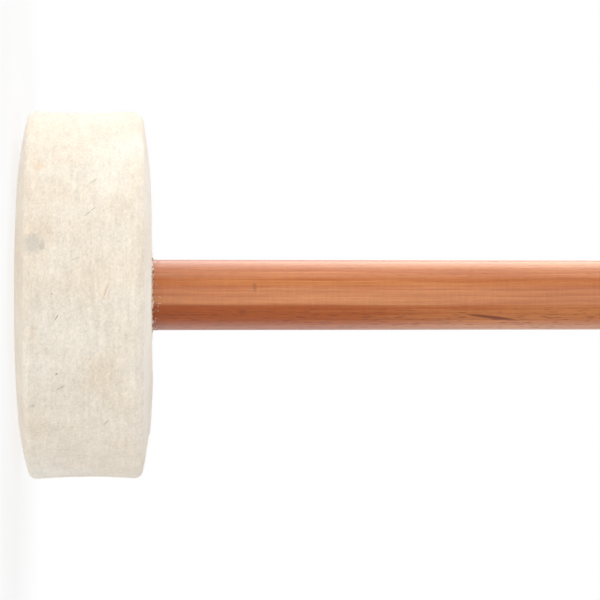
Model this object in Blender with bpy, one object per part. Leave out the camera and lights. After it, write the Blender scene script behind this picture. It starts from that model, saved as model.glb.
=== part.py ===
"""A gong mallet: a pressed felt disc on a turned beech handle, standing on the disc's front face.

The handle's axis is +Z. The origin is the centre of the disc's front face, and the handle rises from the back.
All sizes are in metres.
"""

import math

import bmesh
import bpy

# Fits
CLEARANCE = 0.0003

# Felt disc
HEAD_DIAMETER = 0.1295
HEAD_THICKNESS = 0.0462
FRONT_LAND_DIAMETER = 0.068
FRONT_CROWN_RADIUS = 0.114
FRONT_CORNER_RADIUS = 0.0026
BACK_LAND_DIAMETER = 0.064
BACK_CROWN_RADIUS = 0.169
BACK_CORNER_RADIUS = 0.0030
RIM_HOLLOW = 0.0007
RECESS_LIP_RADIUS = 0.0010

# Handle
HANDLE_DIAMETER = 0.025
GRIP_LENGTH = 0.3335
SHOULDER_CHAMFER = 0.0004
HANDLE_END_RADIUS = 0.0085
SPIGOT_DIAMETER = 0.018
SPIGOT_CHAMFER = 0.0008
SPIGOT_SETBACK = 0.0006
PILOT_EXTRA_DEPTH = 0.0020
DRILL_POINT_ANGLE = math.radians(118.0)

# Washer
WASHER_DIAMETER = 0.030
WASHER_HOLE_DIAMETER = 0.0056
WASHER_THICKNESS = 0.0015
WASHER_EDGE_BREAK = 0.0002
WASHER_RECESS_MARGIN = 0.0010

# Wood screw
SCREW_DIAMETER = 0.0050
SCREW_CORE_DIAMETER = 0.0034
SCREW_SHANK_DIAMETER = 0.0037
SCREW_LENGTH = 0.050
SCREW_PLAIN_LENGTH = 0.018
SCREW_TIP_LENGTH = 0.0055
THREAD_PITCH = 0.0024
THREAD_FOOT_SHARE = 2 / 3
HEAD_CAP_DIAMETER = 0.0095
HEAD_CAP_HEIGHT = 0.0028
HEAD_CAP_BELOW_FACE = 0.0005
CROSS_SPAN = 0.0052
CROSS_WIDTH = 0.0013
CROSS_DEPTH = 0.0017
CROSS_TAPER = 0.62

# Glue squeezed out at the root of the handle
GLUE_WIDTH = 0.0014
GLUE_HEIGHT = 0.0013

# Facets
HEAD_SEGMENTS = 80
HANDLE_SEGMENTS = 64
SMALL_SEGMENTS = 40
SCREW_SEGMENTS = 20
THREAD_ROWS_PER_TURN = 6
CROWN_STEPS = 7
CORNER_STEPS = 5
RIM_STEPS = 6
LIP_STEPS = 3
HANDLE_END_STEPS = 8
CAP_STEPS = 5
GLUE_STEPS = 5
SMOOTH_ANGLE = math.radians(32.0)

# Places along the axis, worked out from the sizes above
CAP_TOP_Z = HEAD_CAP_BELOW_FACE
CAP_SEAT_Z = CAP_TOP_Z + HEAD_CAP_HEIGHT
WASHER_FRONT_Z = CAP_SEAT_Z + CLEARANCE
WASHER_BACK_Z = WASHER_FRONT_Z + WASHER_THICKNESS
RECESS_FLOOR_Z = WASHER_BACK_Z + CLEARANCE
SPIGOT_END_Z = RECESS_FLOOR_Z + SPIGOT_SETBACK
SHOULDER_Z = HEAD_THICKNESS + CLEARANCE
HANDLE_TOP_Z = SHOULDER_Z + GRIP_LENGTH
SCREW_TIP_Z = CAP_SEAT_Z + SCREW_LENGTH
PILOT_BOTTOM_Z = SCREW_TIP_Z + PILOT_EXTRA_DEPTH

# Radii that fit round another piece
BORE_RADIUS = SPIGOT_DIAMETER / 2 + CLEARANCE
RECESS_RADIUS = WASHER_DIAMETER / 2 + WASHER_RECESS_MARGIN
PILOT_RADIUS = SCREW_DIAMETER / 2 + CLEARANCE
GLUE_INNER_RADIUS = HANDLE_DIAMETER / 2 + CLEARANCE


def clear_scene():
    """Remove every object, so that the model starts from nothing."""
    for old in list(bpy.data.objects):
        bpy.data.objects.remove(old, do_unlink=True)


def plain_material(name, colour, roughness, metallic=0.0):
    """Return a Principled material of one colour."""
    material = bpy.data.materials.new(name)
    material.use_nodes = True
    shader = material.node_tree.nodes["Principled BSDF"]
    shader.inputs["Base Color"].default_value = (*colour, 1.0)
    shader.inputs["Roughness"].default_value = roughness
    shader.inputs["Metallic"].default_value = metallic
    material.diffuse_color = (*colour, 1.0)
    return material


def arc(centre, radius, start, end, steps):
    """Return points (r, z) on an arc, both ends included; angles in radians from the +r direction."""
    points = []
    for i in range(steps + 1):
        angle = start + (end - start) * i / steps
        points.append((centre[0] + radius * math.cos(angle), centre[1] + radius * math.sin(angle)))
    return points


def object_from_bmesh(name, mesh_data, material):
    """Turn a bmesh into a smooth-shaded object with its faces pointing out."""
    bmesh.ops.recalc_face_normals(mesh_data, faces=mesh_data.faces[:])
    mesh = bpy.data.meshes.new(name)
    mesh_data.to_mesh(mesh)
    mesh_data.free()
    mesh.materials.append(material)
    mesh.shade_smooth()
    mesh.set_sharp_from_angle(angle=SMOOTH_ANGLE)
    made = bpy.data.objects.new(name, mesh)
    bpy.context.collection.objects.link(made)
    return made


def turned(name, profile, segments, material, ring=False):
    """Turn a profile of (r, z) points about Z.

    A ring profile is a closed loop clear of the axis. Any other profile starts and ends on the axis.
    """
    mesh_data = bmesh.new()
    columns = []
    for r, z in profile:
        if r == 0.0:
            columns.append([mesh_data.verts.new((0.0, 0.0, z))])
            continue
        column = []
        for j in range(segments):
            angle = 2 * math.pi * j / segments
            column.append(mesh_data.verts.new((r * math.cos(angle), r * math.sin(angle), z)))
        columns.append(column)
    pairs = list(zip(columns, columns[1:]))
    if ring:
        pairs.append((columns[-1], columns[0]))
    for lower, upper in pairs:
        for j in range(segments):
            k = (j + 1) % segments
            corners = [lower[j % len(lower)], lower[k % len(lower)], upper[k % len(upper)], upper[j % len(upper)]]
            mesh_data.faces.new(list(dict.fromkeys(corners)))
    return object_from_bmesh(name, mesh_data, material)


def crowned_face(land_radius, crown_radius, corner_radius):
    """Return one face of the disc from its land to its rim, as (r, depth) from the land's plane.

    The crown is an arc tangent to the flat land, and the corner is an arc tangent to the crown and to the rim.
    """
    rim_radius = HEAD_DIAMETER / 2
    corner_r = rim_radius - corner_radius
    drop = math.sqrt((crown_radius - corner_radius) ** 2 - (corner_r - land_radius) ** 2)
    corner_depth = crown_radius - drop
    meeting = math.atan2(corner_r - land_radius, drop)
    points = [(land_radius, 0.0)]
    for i in range(1, CROWN_STEPS + 1):
        angle = meeting * i / CROWN_STEPS
        points.append((land_radius + crown_radius * math.sin(angle), crown_radius * (1 - math.cos(angle))))
    first = meeting - math.pi / 2
    points += arc((corner_r, corner_depth), corner_radius, first, 0.0, CORNER_STEPS)[1:]
    return points


def make_felt_head(material):
    """Make the felt disc, bored for the spigot and recessed in front for the washer."""
    front = crowned_face(FRONT_LAND_DIAMETER / 2, FRONT_CROWN_RADIUS, FRONT_CORNER_RADIUS)
    back = crowned_face(BACK_LAND_DIAMETER / 2, BACK_CROWN_RADIUS, BACK_CORNER_RADIUS)
    profile = [(BORE_RADIUS, RECESS_FLOOR_Z), (RECESS_RADIUS, RECESS_FLOOR_Z)]
    lip_centre = (RECESS_RADIUS + RECESS_LIP_RADIUS, RECESS_LIP_RADIUS)
    profile += arc(lip_centre, RECESS_LIP_RADIUS, math.pi, 1.5 * math.pi, LIP_STEPS)
    profile += front
    rim_start = front[-1][1]
    rim_end = HEAD_THICKNESS - back[-1][1]
    for i in range(1, RIM_STEPS):
        share = i / RIM_STEPS
        hollow = RIM_HOLLOW * 4 * share * (1 - share)
        profile.append((HEAD_DIAMETER / 2 - hollow, rim_start + (rim_end - rim_start) * share))
    profile += [(r, HEAD_THICKNESS - depth) for r, depth in reversed(back)]
    profile.append((BORE_RADIUS, HEAD_THICKNESS))
    return turned("felt_head", profile, HEAD_SEGMENTS, material, ring=True)


def make_handle(material):
    """Make the beech handle: grip, shoulder, spigot and the pilot hole for the screw."""
    radius = HANDLE_DIAMETER / 2
    spigot = SPIGOT_DIAMETER / 2
    point_height = PILOT_RADIUS / math.tan(DRILL_POINT_ANGLE / 2)
    profile = [
        (0.0, PILOT_BOTTOM_Z + point_height),
        (PILOT_RADIUS, PILOT_BOTTOM_Z),
        (PILOT_RADIUS, SPIGOT_END_Z),
        (spigot - SPIGOT_CHAMFER, SPIGOT_END_Z),
        (spigot, SPIGOT_END_Z + SPIGOT_CHAMFER),
        (spigot, SHOULDER_Z),
        (radius - SHOULDER_CHAMFER, SHOULDER_Z),
        (radius, SHOULDER_Z + SHOULDER_CHAMFER),
    ]
    end_centre = (radius - HANDLE_END_RADIUS, HANDLE_TOP_Z - HANDLE_END_RADIUS)
    profile += arc(end_centre, HANDLE_END_RADIUS, 0.0, math.pi / 2, HANDLE_END_STEPS)
    profile.append((0.0, HANDLE_TOP_Z))
    return turned("handle", profile, HANDLE_SEGMENTS, material)


def make_clamp_washer(material):
    """Make the wide washer that lies on the floor of the front recess."""
    inner = WASHER_HOLE_DIAMETER / 2
    outer = WASHER_DIAMETER / 2
    edge = WASHER_EDGE_BREAK
    profile = [
        (inner, WASHER_FRONT_Z + edge),
        (inner + edge, WASHER_FRONT_Z),
        (outer - edge, WASHER_FRONT_Z),
        (outer, WASHER_FRONT_Z + edge),
        (outer, WASHER_BACK_Z - edge),
        (outer - edge, WASHER_BACK_Z),
        (inner + edge, WASHER_BACK_Z),
        (inner, WASHER_BACK_Z - edge),
    ]
    return turned("clamp_washer", profile, SMALL_SEGMENTS, material, ring=True)


def screw_rows():
    """Return the screw's rings from cap to tip as (z, radius, thread height)."""
    core = SCREW_CORE_DIAMETER / 2
    cap = HEAD_CAP_DIAMETER / 2
    rows = []
    for i in range(1, CAP_STEPS + 1):
        angle = math.pi / 2 * i / CAP_STEPS
        rows.append((CAP_SEAT_Z - HEAD_CAP_HEIGHT * math.cos(angle), cap * math.sin(angle), 0.0))
    rows.append((CAP_SEAT_Z, SCREW_SHANK_DIAMETER / 2, 0.0))
    thread_start = CAP_SEAT_Z + SCREW_PLAIN_LENGTH
    rows.append((thread_start, SCREW_SHANK_DIAMETER / 2, 0.0))
    tip_start = SCREW_TIP_Z - SCREW_TIP_LENGTH
    crest = (SCREW_DIAMETER - SCREW_CORE_DIAMETER) / 2
    step = THREAD_PITCH / THREAD_ROWS_PER_TURN
    count = int((SCREW_TIP_Z - thread_start) / step)
    for i in range(1, count):
        z = thread_start + i * step
        taper = min(1.0, (SCREW_TIP_Z - z) / SCREW_TIP_LENGTH) if z > tip_start else 1.0
        lead_in = min(1.0, i / THREAD_ROWS_PER_TURN)
        rows.append((z, core * taper, crest * taper * lead_in))
    return rows


def make_screw_body(material):
    """Make the screw with its helical thread as rings whose radius follows the helix."""
    mesh_data = bmesh.new()
    columns = [[mesh_data.verts.new((0.0, 0.0, CAP_TOP_Z))]]
    for z, radius, thread in screw_rows():
        column = []
        for j in range(SCREW_SEGMENTS):
            turn = j / SCREW_SEGMENTS
            angle = 2 * math.pi * turn
            phase = (z / THREAD_PITCH - turn) % 1.0
            ridge = max(0.0, 1.0 - abs(phase - 0.5) * 2 / THREAD_FOOT_SHARE)
            r = radius + thread * ridge
            column.append(mesh_data.verts.new((r * math.cos(angle), r * math.sin(angle), z)))
        columns.append(column)
    columns.append([mesh_data.verts.new((0.0, 0.0, SCREW_TIP_Z))])
    for lower, upper in zip(columns, columns[1:]):
        for j in range(SCREW_SEGMENTS):
            k = (j + 1) % SCREW_SEGMENTS
            corners = [lower[j % len(lower)], lower[k % len(lower)], upper[k % len(upper)], upper[j % len(upper)]]
            mesh_data.faces.new(list(dict.fromkeys(corners)))
    return object_from_bmesh("retaining_screw", mesh_data, material)


def make_cross_cutter():
    """Make the tapered cross that cuts the driver recess in the screw's cap."""
    reach = CROSS_SPAN / 2
    side = CROSS_WIDTH / 2
    arm = [(reach, -side), (reach, side), (side, side)]
    outline = []
    for turn in range(4):
        for x, y in arm:
            angle = turn * math.pi / 2
            outline.append((x * math.cos(angle) - y * math.sin(angle), x * math.sin(angle) + y * math.cos(angle)))
    mesh_data = bmesh.new()
    above = CAP_TOP_Z - CROSS_DEPTH
    floor = CAP_TOP_Z + CROSS_DEPTH
    loops = []
    for z, scale in ((above, 1.0), (floor, CROSS_TAPER)):
        loops.append([mesh_data.verts.new((x * scale, y * scale, z)) for x, y in outline])
    mesh_data.faces.new(loops[0])
    mesh_data.faces.new(loops[1])
    for j in range(len(outline)):
        k = (j + 1) % len(outline)
        mesh_data.faces.new([loops[0][j], loops[0][k], loops[1][k], loops[1][j]])
    bmesh.ops.recalc_face_normals(mesh_data, faces=mesh_data.faces[:])
    mesh = bpy.data.meshes.new("cross_cutter")
    mesh_data.to_mesh(mesh)
    mesh_data.free()
    cutter = bpy.data.objects.new("cross_cutter", mesh)
    cutter.hide_render = True
    cutter.display_type = "WIRE"
    bpy.context.collection.objects.link(cutter)
    return cutter


def make_retaining_screw(material):
    """Make the wood screw and cut its driver recess."""
    screw = make_screw_body(material)
    cut = screw.modifiers.new("driver_recess", "BOOLEAN")
    cut.operation = "DIFFERENCE"
    cut.solver = "EXACT"
    cut.object = make_cross_cutter()
    return screw


def make_glue_bead(material):
    """Make the ring of set glue in the corner between the felt and the handle."""
    inner = GLUE_INNER_RADIUS
    profile = [(inner, SHOULDER_Z)]
    for i in range(GLUE_STEPS + 1):
        angle = math.pi / 2 * i / GLUE_STEPS
        profile.append((inner + GLUE_WIDTH * math.cos(angle), SHOULDER_Z + GLUE_HEIGHT * math.sin(angle)))
    return turned("glue_bead", profile, HANDLE_SEGMENTS, material, ring=True)


def main():
    """Build the whole mallet."""
    clear_scene()
    felt = plain_material("pressed_felt", (0.80, 0.74, 0.62), 0.95)
    beech = plain_material("beech", (0.56, 0.24, 0.10), 0.45)
    steel = plain_material("zinc_steel", (0.62, 0.62, 0.60), 0.35, 1.0)
    glue = plain_material("set_glue", (0.82, 0.72, 0.52), 0.35)
    make_felt_head(felt)
    make_handle(beech)
    make_clamp_washer(steel)
    make_retaining_screw(steel)
    make_glue_bead(glue)


main()
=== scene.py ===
"""Dress the gong mallet: pressed felt, beech, zinc-plated steel and set glue, in soft studio light.

Sizes are in metres, in the mallet's own frame. The mallet stands on the flat land of the disc's front face, its
handle runs up +Z, and the photographed side faces -Y with the picture's top towards -X.
"""

from __future__ import annotations

import logging
import math
from dataclasses import dataclass
from enum import Enum
from typing import Iterable, Sequence, Union

import bmesh
import bpy
import numpy as np
from mathutils import Matrix, Vector, noise


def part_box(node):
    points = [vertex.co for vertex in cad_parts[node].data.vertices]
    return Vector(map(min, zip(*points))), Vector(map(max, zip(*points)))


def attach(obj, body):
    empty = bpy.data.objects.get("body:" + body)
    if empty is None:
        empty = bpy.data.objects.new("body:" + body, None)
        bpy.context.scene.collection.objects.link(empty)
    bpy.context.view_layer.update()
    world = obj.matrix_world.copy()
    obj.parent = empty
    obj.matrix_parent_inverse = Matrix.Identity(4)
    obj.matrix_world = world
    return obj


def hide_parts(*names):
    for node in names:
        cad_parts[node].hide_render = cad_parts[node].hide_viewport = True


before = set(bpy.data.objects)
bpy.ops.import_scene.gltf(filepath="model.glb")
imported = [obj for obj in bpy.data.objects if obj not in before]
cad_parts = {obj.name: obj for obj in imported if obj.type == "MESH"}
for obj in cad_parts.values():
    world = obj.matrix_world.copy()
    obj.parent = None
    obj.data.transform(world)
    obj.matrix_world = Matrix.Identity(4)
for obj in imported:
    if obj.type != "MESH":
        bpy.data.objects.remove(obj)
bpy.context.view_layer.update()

LOG = logging.getLogger("gong_mallet")
BODY = "root"
QUARTER_TURN = math.pi / 2
WHITE = (1.0, 1.0, 1.0)

Colour = tuple[float, float, float]
Point = tuple[float, float]


class Value:
    """A number in a material's node tree that takes part in Python expressions."""

    def __init__(self, recipe: "Recipe", socket: bpy.types.NodeSocket) -> None:
        """Wrap one output socket of this recipe's tree."""
        self.recipe = recipe
        self.socket = socket

    def __add__(self, other: "Number") -> "Value":
        """Return the sum."""
        return self.recipe.math("ADD", self, other)

    def __radd__(self, other: "Number") -> "Value":
        """Return the sum, with the plain number first."""
        return self.recipe.math("ADD", other, self)

    def __sub__(self, other: "Number") -> "Value":
        """Return the difference."""
        return self.recipe.math("SUBTRACT", self, other)

    def __rsub__(self, other: "Number") -> "Value":
        """Return the plain number less this value."""
        return self.recipe.math("SUBTRACT", other, self)

    def __mul__(self, other: "Number") -> "Value":
        """Return the product."""
        return self.recipe.math("MULTIPLY", self, other)

    def __rmul__(self, other: "Number") -> "Value":
        """Return the product, with the plain number first."""
        return self.recipe.math("MULTIPLY", other, self)

    def __truediv__(self, other: "Number") -> "Value":
        """Return the quotient."""
        return self.recipe.math("DIVIDE", self, other)

    def __pow__(self, other: "Number") -> "Value":
        """Return this value raised to a power."""
        return self.recipe.math("POWER", self, other)

    def __abs__(self) -> "Value":
        """Return the absolute value."""
        return self.recipe.math("ABSOLUTE", self)

    def smooth(self, low: float, high: float) -> "Value":
        """Return 0 below low and 1 above high, with a smooth rise between; high may be the lower."""
        return self.recipe.smooth(self, low, high)


Number = Union[Value, float, int]


class Graph:
    """A node tree, with one maker for every node in it."""

    def __init__(self, tree: bpy.types.NodeTree) -> None:
        """Start from this tree, emptied."""
        self.tree = tree
        self.tree.nodes.clear()

    def node(self, kind: str, settings: dict | None = None, inputs: dict | None = None) -> bpy.types.Node:
        """Add a node.

        Args:
            kind: The node's type name.
            settings: Attributes, which are set first.
            inputs: Socket name or index to a value, a colour or something to link.

        Returns:
            The new node.
        """
        made = self.tree.nodes.new(kind)
        for key, value in (settings or {}).items():
            setattr(made, key, value)
        for key, value in (inputs or {}).items():
            self.feed(made.inputs[key], value)
        return made

    def feed(self, socket: bpy.types.NodeSocket, value: object) -> None:
        """Link or set one input socket.

        Args:
            socket: The input socket.
            value: A number, a vector, a colour, a material or a socket to link.
        """
        if isinstance(value, Value):
            self.tree.links.new(value.socket, socket)
        elif isinstance(value, bpy.types.NodeSocket):
            self.tree.links.new(value, socket)
        elif isinstance(value, tuple) and socket.type == "RGBA":
            socket.default_value = (*value, 1.0)
        else:
            socket.default_value = value


class Recipe(Graph):
    """One material's node tree, with the makers that every finish needs."""

    def __init__(self, name: str) -> None:
        """Start an empty material.

        Args:
            name: The material's name.
        """
        self.material = bpy.data.materials.new(name)
        self.material.use_nodes = True
        super().__init__(self.material.node_tree)

    def math(self, operation: str, *values: Number) -> Value:
        """Add a Math node over one or more values and return its result."""
        made = self.node("ShaderNodeMath", {"operation": operation}, dict(enumerate(values)))
        return Value(self, made.outputs[0])

    def smooth(self, value: Number, low: float, high: float) -> Value:
        """Return a smooth step of a value.

        Args:
            value: The value to step.
            low: Where the step gives 0.
            high: Where it gives 1, above or below low.

        Returns:
            The step, held at 0 and 1 outside the two places.
        """
        start, end, first, last = (low, high, 0.0, 1.0) if low < high else (high, low, 1.0, 0.0)
        made = self.node(
            "ShaderNodeMapRange",
            {"interpolation_type": "SMOOTHSTEP"},
            {"Value": value, "From Min": start, "From Max": end, "To Min": first, "To Max": last},
        )
        return Value(self, made.outputs[0])

    def place(self) -> bpy.types.NodeSocket:
        """Return the object coordinates."""
        return self.node("ShaderNodeTexCoord").outputs["Object"]

    def parts_of(self, vector: bpy.types.NodeSocket) -> tuple[Value, Value, Value]:
        """Return a vector's three numbers."""
        made = self.node("ShaderNodeSeparateXYZ", None, {0: vector})
        return Value(self, made.outputs[0]), Value(self, made.outputs[1]), Value(self, made.outputs[2])

    def stretched(
        self,
        vector: bpy.types.NodeSocket,
        scale: Sequence[float],
        turn: float = 0.0,
        move: Sequence[float] = (0.0, 0.0, 0.0),
    ) -> bpy.types.NodeSocket:
        """Turn coordinates about Z and then scale each axis.

        Args:
            vector: The coordinates.
            scale: The factor on each axis after the turn.
            turn: The angle about Z, in radians.
            move: What is added at the end, to read another stretch of a noise.

        Returns:
            The new coordinates.
        """
        turned = vector
        if turn:
            turned = self.node("ShaderNodeMapping", None, {"Vector": vector, "Rotation": (0.0, 0.0, turn)}).outputs[0]
        return self.node(
            "ShaderNodeMapping", None, {"Vector": turned, "Scale": tuple(scale), "Location": tuple(move)}
        ).outputs[0]

    def noise(
        self, vector: bpy.types.NodeSocket, scale: float = 1.0, detail: float = 2.0, roughness: float = 0.5
    ) -> Value:
        """Read a noise.

        Args:
            vector: The coordinates.
            scale: The number of its waves to a unit.
            detail: How many finer layers it has.
            roughness: How strong the finer layers are.

        Returns:
            A value between about 0 and 1.
        """
        made = self.node(
            "ShaderNodeTexNoise",
            {"noise_dimensions": "3D"},
            {"Vector": vector, "Scale": scale, "Detail": detail, "Roughness": roughness},
        )
        return Value(self, made.outputs[0])

    def hair_lines(self, vector: bpy.types.NodeSocket, sharpness: float) -> Value:
        """Return thin bright lines where a noise crosses its middle."""
        ridge = 1.0 - abs(self.noise(vector, detail=1.0) - 0.5) * 2.0
        return ridge**sharpness

    def mix(self, factor: Number, low: object, high: object, blend: str = "MIX") -> bpy.types.NodeSocket:
        """Mix two colours and return the colour."""
        made = self.node("ShaderNodeMix", {"data_type": "RGBA", "blend_type": blend}, {0: factor, 6: low, 7: high})
        return made.outputs[2]

    def grey(self, value: Number) -> bpy.types.NodeSocket:
        """Return a value as a grey colour, to multiply another colour with."""
        return self.node("ShaderNodeCombineColor", None, {0: value, 1: value, 2: value}).outputs[0]

    def bump(self, height: Value, distance: float, strength: float = 1.0) -> bpy.types.NodeSocket:
        """Return a normal bent by a height."""
        made = self.node("ShaderNodeBump", None, {"Height": height, "Distance": distance, "Strength": strength})
        return made.outputs[0]

    def finish(self, sockets: dict) -> bpy.types.Material:
        """Close the recipe with a Principled shader.

        Args:
            sockets: What feeds each named socket of the shader.

        Returns:
            The finished material.
        """
        shader = self.node("ShaderNodeBsdfPrincipled", None, sockets)
        self.node("ShaderNodeOutputMaterial", None, {0: shader.outputs[0]})
        return self.material


@dataclass(frozen=True)
class Stain:
    """A soft patch of dirt or dye on the disc's rim.

    The place is given round the rim (positive towards the picture's top) and along the axis.
    """

    round_rim: float
    along: float
    half_round: float
    half_along: float
    colour: Colour
    strength: float


@dataclass(frozen=True)
class PressedFelt:
    """Cream pressed wool: matted hairs, slow mottling, a few stains and a soft sheen."""

    uv_name: str = "cloth"
    pale: Colour = (0.880, 0.812, 0.705)
    warm: Colour = (0.830, 0.722, 0.585)
    sheen: float = 0.55
    clump_shade: float = 0.20
    cloud_shade: float = 0.16
    grain_shade: float = 0.34
    drawn_shade: float = 0.26
    hair_shade: float = 0.26
    relief: float = 0.00032
    stains: tuple[Stain, ...] = (
        Stain(0.0168, 0.0072, 0.0042, 0.0042, (0.50, 0.49, 0.46), 0.42),
        Stain(0.0158, 0.0102, 0.0013, 0.0012, (0.40, 0.37, 0.38), 0.30),
        Stain(0.0158, 0.0032, 0.0012, 0.0010, (0.42, 0.40, 0.36), 0.35),
        Stain(0.0468, 0.0087, 0.0026, 0.0022, (0.86, 0.62, 0.40), 0.45),
        Stain(0.0330, 0.0040, 0.0035, 0.0012, (0.86, 0.62, 0.48), 0.35),
        Stain(-0.0120, 0.0072, 0.0036, 0.0012, (0.84, 0.62, 0.46), 0.30),
        Stain(-0.0320, 0.0150, 0.0030, 0.0028, (0.66, 0.64, 0.55), 0.25),
        Stain(-0.0390, 0.0069, 0.0010, 0.0012, (0.45, 0.38, 0.30), 0.40),
    )

    def build(self) -> bpy.types.Material:
        """Build the material.

        Returns:
            The finished material.
        """
        recipe = Recipe("pressed_felt")
        space = recipe.place()
        cloth = recipe.node("ShaderNodeUVMap", {"uv_map": self.uv_name}).outputs[0]
        round_rim, along, _ = recipe.parts_of(cloth)
        mottle = recipe.noise(space, scale=42.0, detail=3.0)
        cloud = recipe.noise(space, scale=130.0, detail=3.0)
        grain = recipe.noise(cloth, scale=950.0, detail=3.0, roughness=0.65)
        drawn = recipe.noise(recipe.stretched(cloth, (75.0, 620.0, 1.0)), detail=3.0, roughness=0.6)
        hairs = self._hairs(recipe, cloth)
        colour = recipe.mix(mottle.smooth(0.3, 0.7), self.warm, self.pale)
        clumps = recipe.noise(recipe.stretched(cloth, (190.0, 330.0, 1.0)), detail=4.0, roughness=0.7)
        level: Number = 1.0
        for layer, middle, share in (
            (clumps, 0.5, self.clump_shade),
            (cloud, 0.5, self.cloud_shade),
            (grain, 0.5, self.grain_shade),
            (drawn, 0.5, self.drawn_shade),
            (hairs, 0.25, self.hair_shade),
        ):
            level = (layer - middle) * share + level
        colour = recipe.mix(1.0, colour, recipe.grey(level), "MULTIPLY")
        breakup = (recipe.noise(cloth, scale=700.0, detail=3.0) - 0.5) * 1.5
        for stain in self.stains:
            off_round = (round_rim - stain.round_rim) / stain.half_round
            off_along = (along - stain.along) / stain.half_along
            reach = off_round * off_round + off_along * off_along + breakup
            colour = recipe.mix(reach.smooth(1.1, 0.0) * stain.strength, colour, stain.colour)
        height = grain * 0.8 + drawn * 0.9 + hairs * 0.7 + cloud * 0.5
        return recipe.finish(
            {
                "Base Color": colour,
                "Roughness": 0.92,
                "Specular IOR Level": 0.2,
                "Sheen Weight": self.sheen,
                "Sheen Roughness": 0.45,
                "Sheen Tint": (1.0, 0.98, 0.95),
                "Normal": recipe.bump(height + clumps, self.relief, 0.8),
            }
        )

    @staticmethod
    def _hairs(recipe: Recipe, cloth: bpy.types.NodeSocket) -> Value:
        """Draw short matted hairs that lie every way, most of them round the rim.

        Args:
            recipe: The felt's recipe.
            cloth: The cloth coordinates.

        Returns:
            A value that is bright along each hair.
        """
        total: Number = 0.0
        for turn, reach in ((0.0, 130.0), (0.35, 190.0), (-0.5, 190.0), (1.1, 260.0), (2.2, 260.0)):
            lines = recipe.stretched(cloth, (reach, 950.0, 1.0), turn, (turn * 7.0, turn * 3.0, 0.0))
            total = recipe.hair_lines(lines, 7.0) * 0.2 + total
        return total


@dataclass(frozen=True)
class WoolHair:
    """Loose wool hairs that stand off the felt, in one natural shade."""

    name: str
    colour: Colour
    shade: Colour

    def build(self) -> bpy.types.Material:
        """Build the material.

        Returns:
            The finished material.
        """
        recipe = Recipe(self.name)
        patch = recipe.noise(recipe.place(), scale=420.0, detail=1.0)
        colour = recipe.mix(patch.smooth(0.42, 0.58), self.shade, self.colour)
        return recipe.finish({"Base Color": colour, "Roughness": 0.75, "Sheen Weight": 0.2})


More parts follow.
